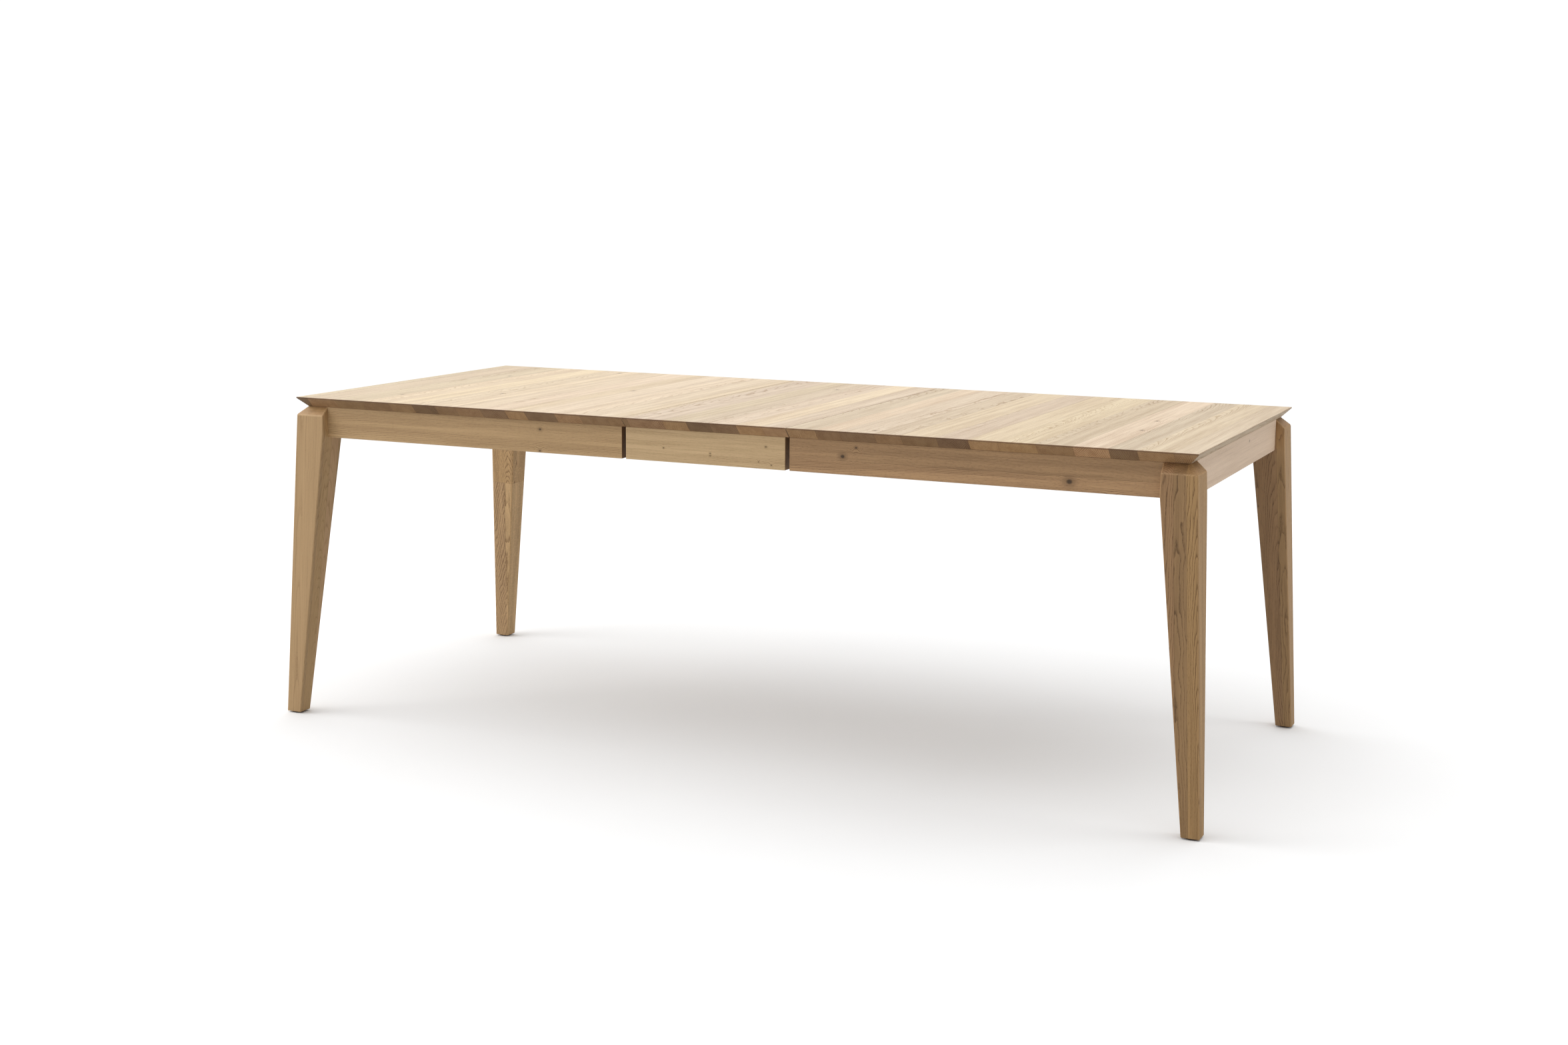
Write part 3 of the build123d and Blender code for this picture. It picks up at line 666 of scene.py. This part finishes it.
def shaped_leg(name, way, side):
    """Block, taper, head and seats of one leg."""
    foot_z = leg_low.z
    middle, size = leg_section(way, side, shoulder_z)
    foot, foot_size = leg_section(way, side, foot_z)
    half = Vector((size / 2, size / 2, 0))
    piece = block(name, Vector((middle.x, middle.y, foot_z)) - half, middle + half)
    edit(piece, "FACE", lambda centre, normal: normal.z < -0.9)
    bpy.ops.transform.resize(value=(foot_size / size, foot_size / size, 1.0))
    bpy.ops.transform.translate(value=(foot.x - middle.x, foot.y - middle.y, 0))
    leave_edit()
    edit(piece, "FACE", lambda centre, normal: normal.z > 0.9)
    rise = (-way * under_bevel / 2, -side * under_bevel / 2, shoulder_rise)
    bpy.ops.mesh.extrude_region_move(TRANSFORM_OT_translate={"value": rise})
    shrink = (size - under_bevel) / size
    bpy.ops.transform.resize(value=(shrink, shrink, 1.0))
    end_seat = ((way * seat_x, 0, 0), (-way, 0, 0))
    side_seat = ((0, side * seat_y, 0), (0, -side, 0))
    for place, normal in (end_seat, side_seat):
        bpy.ops.mesh.select_all(action="SELECT")
        bpy.ops.mesh.bisect(plane_co=place, plane_no=normal, use_fill=True, clear_outer=True)
    leave_edit()
    return piece


def round_leg(piece, way, side):
    """Weigh the edges of a leg, round them, and cut the flat that the corner plate's bolts pull on."""
    def long_edge(middle, way):
        return abs(way.z) > 0.6 and middle.z < under_top - 0.001

    def level_edge(middle, way):
        low_enough = middle.z < under_top - 0.001
        return low_enough and abs(way.z) < 0.1 and not close_to(middle.z, apron_bottom, 0.03)

    edit(piece, "EDGE", long_edge)
    bpy.ops.transform.edge_bevelweight(value=1.0)
    leave_edit()
    edit(piece, "EDGE", level_edge)
    bpy.ops.transform.edge_bevelweight(value=0.75)
    leave_edit()
    break_edges(piece, leg_round, 3, weights=True)
    half = leg_flat / math.sqrt(2)
    low = (-half, -half, under_top - leg_flat_height)
    cutter = block("cutter", low, (half, half, under_top + 0.01))
    bpy.ops.transform.rotate(value=math.radians(45), orient_axis="Z", center_override=(0, 0, 0))
    bpy.ops.transform.translate(value=(way * seat_x, side * seat_y, 0))
    bpy.ops.object.transform_apply(location=True, rotation=True, scale=True)
    only(piece)
    cut = piece.modifiers.new("flat", "BOOLEAN")
    cut.operation = "DIFFERENCE"
    cut.object = cutter
    bpy.ops.object.modifier_apply(modifier=cut.name)
    bpy.data.objects.remove(cutter)


for half, way in HALVES.items():
    for side_name, side in SIDES.items():
        leg = shaped_leg(f"oak_leg_{side_name}_{half}", way, side)
        round_leg(leg, way, side)
        print(leg.name, "faces", len(leg.data.polygons))

# %% [markdown]
# Each leg is glued up from three strips of oak, and each leg has its own: some show the strips from the
# front, some from the side. The grain follows the outer edge of the leg, so the board frame is tilted by the
# lean of that edge.

# %% Finish of the legs
LEG_WOOD = dict(unevenness=0.25, ring=0.0026, pith_depth=0.03, streak=0.50, knot_share=0.10,
                knot_spacing=0.12, knot_size=0.0018, end_dark=0.12, gloss=0.55)
LEG_TONES_AND_SHADE = {
    "front_left": dict(pale=(0.60, 0.39, 0.19), dark=(0.34, 0.20, 0.082), seed=4.0, strips="y", board=0.026,
                       line=0.35, tilt=0.03, board_play=0.12),
    # The front right leg's darker colours are partly its wood and partly painted shade, for the light that
    # falls off towards the right.
    "front_right": dict(pale=(0.46, 0.27, 0.122), dark=(0.175, 0.09, 0.032), seed=5.0, strips="x",
                        board=0.026, line=0.75, tilt=0.05),
    "back_left": dict(pale=(0.72, 0.47, 0.225), dark=(0.29, 0.16, 0.065), seed=6.0, strips="x", board=0.09,
                      line=0.85, tilt=0.10, fleck=0.2, splice=-0.27),
    # The back right leg is painted dark: painted shade, for the shade it stands in under the far right end of
    # the table.
    "back_right": dict(pale=(0.42, 0.25, 0.115), dark=(0.19, 0.105, 0.045), seed=7.0, strips="x", board=0.04,
                       line=0.6, tilt=0.04),
}


def leg_finish(name, way, side, strips, **looks):
    """Oak that follows the lean of one leg."""
    up = Vector((-way * leg_splay_x, -side * leg_splay_y, shoulder_z)).normalized()
    first = Vector(X_AXIS if strips == "x" else Y_AXIS)
    first = (first - up * first.dot(up)).normalized()
    second = up.cross(first)
    corner = Vector((way * end_x, side * side_y, shoulder_z))
    return wood(name, first, second, up, corner, **looks, **LEG_WOOD)


for half, way in HALVES.items():
    for side_name, side in SIDES.items():
        place = f"{side_name}_{half}"
        finish = leg_finish(f"oak_leg_wood_{place}", way, side, **LEG_TONES_AND_SHADE[place])
        finish_piece(bpy.data.objects[f"oak_leg_{place}"], finish, f"leg_{place}")

# %% [markdown]
# ## The aprons
#
# An apron is one plain board on edge, screwed under the top, with all its edges lightly sanded. On a long
# apron the grain runs along the table, on an end apron across it. They come from different trees, so each
# gets its own seed and its own tone. The right aprons are painted darker: partly their wood, and partly
# painted shade for the light that falls off towards the right end. The knots that catch the eye on the front
# are placed one by one, each by its height below the top, its distance from the table's middle towards the
# left, and its radius.

# %% Make and finish the aprons
APRON_WOOD = dict(board=0.5, unevenness=0.2, tilt=0.04, streak=0.50,
                  board_play=0.10, knot_share=0.15, knot_spacing=0.10, end_dark=0.45, gloss=0.55)
LEFT_APRON = dict(pale=(0.65, 0.42, 0.215), dark=(0.32, 0.185, 0.078), line=0.65, ring=0.0030,
                  pith_depth=0.06, knot_size=0.0020)
# The right aprons' darker colours are partly their wood and partly painted shade, for the light that falls
# off towards the right end.
RIGHT_APRON_WITH_SHADE = dict(pale=(0.53, 0.315, 0.158), dark=(0.19, 0.10, 0.042), line=0.90, ring=0.0030,
                   pith_depth=0.045, knot_size=0.0028)
LEAF_APRON = dict(pale=(0.76, 0.54, 0.285), dark=(0.38, 0.225, 0.098), line=0.50, ring=0.0019,
                  pith_depth=0.05, pith_aside=0.13, knot_share=0.0, knot_size=0.0012)
END_APRON = dict(pale=(0.80, 0.62, 0.46), dark=(0.54, 0.38, 0.26), line=0.50, ring=0.0030,
                 pith_depth=0.05, fleck=0.15, knot_size=0.0018)
APRON_KNOTS = {
    "apron_front_left": ((-0.018, 0.411, 0.0028), (-0.066, 0.412, 0.0022)),
    "apron_front_right": ((-0.032, -0.316, 0.0042), (-0.012, -0.346, 0.0020), (-0.051, -0.801, 0.0055)),
    "leaf_apron_front": ((-0.045, -0.010, 0.0013), (-0.050, -0.010, 0.0013), (-0.040, 0.102, 0.0014),
                         (-0.023, -0.141, 0.0016), (-0.056, -0.124, 0.0010), (-0.061, -0.154, 0.0013)),
}


def long_apron(node, side, seed, tone):
    """An apron under a long side, with its grain along the table."""
    corner = Vector((0, side * side_y, under_top))
    looks = {**APRON_WOOD, **tone}
    kind = wood(f"wood_{node}", Z_AXIS, Y_AXIS, (-1, 0, 0), corner, seed=seed,
                knot_places=APRON_KNOTS.get(node, ()), **looks)
    apron(node, kind)


def apron(node, kind):
    """One apron from its node's box, with broken edges."""
    low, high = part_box(node)
    piece = block(f"oak_{node}", low, high)
    break_edges(piece, 0.0007, 2)
    finish_piece(piece, kind, node)


for number, (half, way) in enumerate(HALVES.items()):
    tone = LEFT_APRON if way == LEFT else RIGHT_APRON_WITH_SHADE
    for offset, (side_name, side) in enumerate(SIDES.items()):
        long_apron(f"apron_{side_name}_{half}", side, 8.0 + number + 2 * offset, tone)
    node = f"end_apron_{half}"
    corner = Vector((way * end_x, 0, under_top))
    looks = {**APRON_WOOD, **END_APRON}
    apron(node, wood(f"wood_{node}", Z_AXIS, X_AXIS, Y_AXIS, corner, seed=12.0 + number, **looks))

for number, (side_name, side) in enumerate(SIDES.items()):
    long_apron(f"leaf_apron_{side_name}", side, 14.0 + number, LEAF_APRON)

# %% [markdown]
# ## Beech underneath
#
# The runners, rails and battens are beech: pinkish, even, with short fine flecks instead of open pores. The
# same wood function makes it with narrow faint rings. These bars are plain planed pieces whose shape in the
# working model is already right, with its grooves and notches, so they keep it.

# %% Finish the beech
BEECH = dict(pale=(0.62, 0.43, 0.28), dark=(0.45, 0.29, 0.175), board=0.5, ring=0.0022, line=0.30,
             streak=0.30, pith_depth=0.08, tilt=0.03, board_play=0.10, knot_share=0.0, fleck=0.12,
             end_dark=0.4, gloss=0.48)


def keep_node(node, material):
    """Give a node of the working model a finish."""
    target = frame["nodes"][node]
    target.data.materials.clear()
    target.data.materials.append(material)


beech_along_x = wood("beech_along_x", Z_AXIS, Y_AXIS, (-1, 0, 0), (0, 0, under_top), seed=20.0, **BEECH)
beech_along_y = wood("beech_along_y", Z_AXIS, X_AXIS, Y_AXIS, (0, 0, under_top), seed=21.0, **BEECH)
for side_name in SIDES:
    for half in HALVES:
        keep_node(f"runner_{side_name}_{half}", beech_along_x)
    keep_node(f"runner_key_{side_name}", beech_along_x)
keep_node("runner_stop_pins", beech_along_y)
for half in HALVES:
    keep_node(f"seam_rail_{half}", beech_along_y)
    keep_node(f"leaf_batten_{half}", beech_along_y)

# %% [markdown]
# ## Steel, plastic and felt
#
# The fittings are pressed steel with a thin zinc coat. Zinc isn't evenly bright: it has a fine spangle and
# cloudy patches, and its gloss changes with them. The pads are moulded plastic with a faint grain, and the
# glides under the feet are pressed felt, dark and hairy.

# %% Finish the fittings
def zinc(name, bright, yellow, scale):
    """Zinc-coated steel. yellow is how much of the warm passivated coat it has."""
    material, tree, shader = new_finish(name)
    place = tree.nodes.new("ShaderNodeTexCoord").outputs["Object"]
    patches = cloud(tree, vector_calc(tree, "MULTIPLY", place, (scale, scale, scale)), 4.0, 0.6)
    spangle = tree.nodes.new("ShaderNodeTexVoronoi")
    spangle.inputs["Scale"].default_value = 9 * scale
    feed(tree, spangle.inputs["Vector"], place)
    grain = parts_of(tree, spangle.outputs["Color"])[0]
    clean = (bright, bright, bright * 0.98, 1.0)
    dull = (bright * 0.72, bright * (0.72 - 0.04 * yellow), bright * (0.70 - 0.25 * yellow), 1.0)
    share = calc(tree, "MULTIPLY_ADD", grain, 0.25, smooth_step(tree, patches, 0.35, 0.7, 0.0, 0.75))
    feed(tree, shader.inputs["Base Color"], mix_colour(tree, share, clean, dull))
    shader.inputs["Metallic"].default_value = 1.0
    feed(tree, shader.inputs["Roughness"], spread(tree, share, 0.28, 0.52))
    rough_up(tree, shader, patches, 0.0003, 0.3)
    return material


def soft_stuff(name, colour, lift, scale, rough):
    """Felt or moulded plastic: one colour broken up by fine clouds."""
    material, tree, shader = new_finish(name)
    place = tree.nodes.new("ShaderNodeTexCoord").outputs["Object"]
    fuzz = cloud(tree, vector_calc(tree, "MULTIPLY", place, (scale, scale, scale)), 4.0, 0.7)
    lighter = tuple(min(1.0, v * lift) for v in colour)
    feed(tree, shader.inputs["Base Color"], mix_colour(tree, fuzz, (*colour, 1.0), (*lighter, 1.0)))
    feed(tree, shader.inputs["Roughness"], spread(tree, fuzz, rough - 0.1, rough + 0.1))
    rough_up(tree, shader, fuzz, 0.0005, 0.6)
    return material


plate_zinc = zinc("zinc_plates", 0.62, 0.1, 60.0)
screw_zinc = zinc("zinc_screws", 0.68, 0.8, 90.0)
pad_plastic = soft_stuff("pad_plastic", (0.78, 0.77, 0.73), 1.08, 900.0, 0.45)
glide_felt = soft_stuff("glide_felt", (0.055, 0.045, 0.040), 2.2, 1400.0, 0.9)
finish_of_slot = {
    "steel_plate": plate_zinc,
    "steel_fastener": screw_zinc,
    "plastic_pad": pad_plastic,
    "felt_glide": glide_felt,
}
fittings = [row for row in frame["record"]["subparts"] if row["material_slot"] in finish_of_slot]
for row in fittings:
    keep_node(row["node"], finish_of_slot[row["material_slot"]])
print("fittings finished", len(fittings))

# %% [markdown]
# ## Floor and light
#
# A catalogue picture has a white sweep and one big soft light. A sun with a wide disc does that job: it
# lights the whole floor evenly, so that floor and background melt together, and its shadows are soft. It
# stands high, a little behind and to the left. An area lamp at the front left brightens that side, and a
# weaker one beyond the right end lifts the end apron and the legs there.
#
# A white floor throws so much light back up that the lower legs lose their weight. In a real studio one
# would lay black card beside the table. Here the Light Path node tells whether a ray comes from the camera:
# the camera sees a floor and a background that are nearly white, while the table is lit by a grey floor and
# a dim sky. That is a trick of the stage. No piece of the table uses it, and it stays behind when the table
# is taken elsewhere.

# %% Make the floor and the lights
FLOOR_SEEN = ((0.86, 0.86, 0.86, 1.0), (0.88, 0.88, 0.88, 1.0))
FLOOR_BOUNCED = (0.48, 0.48, 0.48, 1.0)
SKY_SEEN = ((1.0, 1.0, 1.0, 1.0), 1.1)
SKY_LIGHT = ((0.97, 0.985, 1.0, 1.0), 0.34)


def soft_floor():
    bpy.ops.object.select_all(action="DESELECT")
    bpy.ops.mesh.primitive_circle_add(vertices=96, radius=60.0, fill_type="NGON", location=(0, 0, 0))
    floor = bpy.context.object
    floor.name = "floor"
    material, tree, shader = new_finish("pale_floor")
    place = tree.nodes.new("ShaderNodeTexCoord").outputs["Object"]
    clouds = cloud(tree, vector_calc(tree, "MULTIPLY", place, (3.0, 3.0, 3.0)), 3.0, 0.5)
    colour = mix_colour(tree, clouds, *FLOOR_SEEN)
    seen = tree.nodes.new("ShaderNodeLightPath").outputs["Is Camera Ray"]
    colour = mix_colour(tree, seen, FLOOR_BOUNCED, colour)
    feed(tree, shader.inputs["Base Color"], colour)
    shader.inputs["Roughness"].default_value = 0.9
    shader.inputs["Specular IOR Level"].default_value = 0.1
    floor.data.materials.append(material)
    floor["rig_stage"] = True


def lamp(kind, name, place, target, strength, size):
    bpy.ops.object.select_all(action="DESELECT")
    bpy.ops.object.light_add(type=kind, location=place)
    light = bpy.context.object
    light.name = name
    direction = Vector(target) - Vector(place)
    light.rotation_euler = direction.to_track_quat("-Z", "Y").to_euler()
    light.data.energy = strength
    if kind == "SUN":
        light.data.angle = math.radians(size)
    else:
        light.data.size = size
    print(name, "strength", strength)


def sky(tree, colour, strength):
    """One even background."""
    node = tree.nodes.new("ShaderNodeBackground")
    node.inputs["Color"].default_value = colour
    node.inputs["Strength"].default_value = strength
    return node.outputs[0]


def pale_world():
    world = bpy.data.worlds.new("studio")
    bpy.context.scene.world = world
    world.use_nodes = True
    tree = world.node_tree
    tree.nodes.clear()
    output = tree.nodes.new("ShaderNodeOutputWorld")
    rays = tree.nodes.new("ShaderNodeLightPath")
    mix = tree.nodes.new("ShaderNodeMixShader")
    feed(tree, mix.inputs[0], rays.outputs["Is Camera Ray"])
    feed(tree, mix.inputs[1], sky(tree, *SKY_LIGHT))
    feed(tree, mix.inputs[2], sky(tree, *SKY_SEEN))
    feed(tree, output.inputs["Surface"], mix.outputs[0])


soft_floor()
lamp("SUN", "big_soft_light", (-1.9, 0.5, 4.0), (0, 0, 0), 3.0, 130.0)
lamp("AREA", "left_light", (-4.2, -1.8, 2.7), (-0.6, 0, 0.6), 55.0, 2.5)
lamp("AREA", "end_light", (4.6, 0.9, 1.7), (1.0, 0, 0.5), 34.0, 2.0)
pale_world()
bpy.context.scene.view_settings.view_transform = "Standard"

# %% [markdown]
# ## Last checks
#
# The finished table must not be bigger than its working model. The box of the dressed table is measured, and
# how much it grew over the working model's box is printed.

# %% Compare the sizes and finish
shown_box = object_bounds()
growth = [shown_box[1][i] - shown_box[0][i] - (cad_box[1][i] - cad_box[0][i]) for i in range(3)]
print("growth in millimetres", [round(1000 * v, 2) for v in growth])
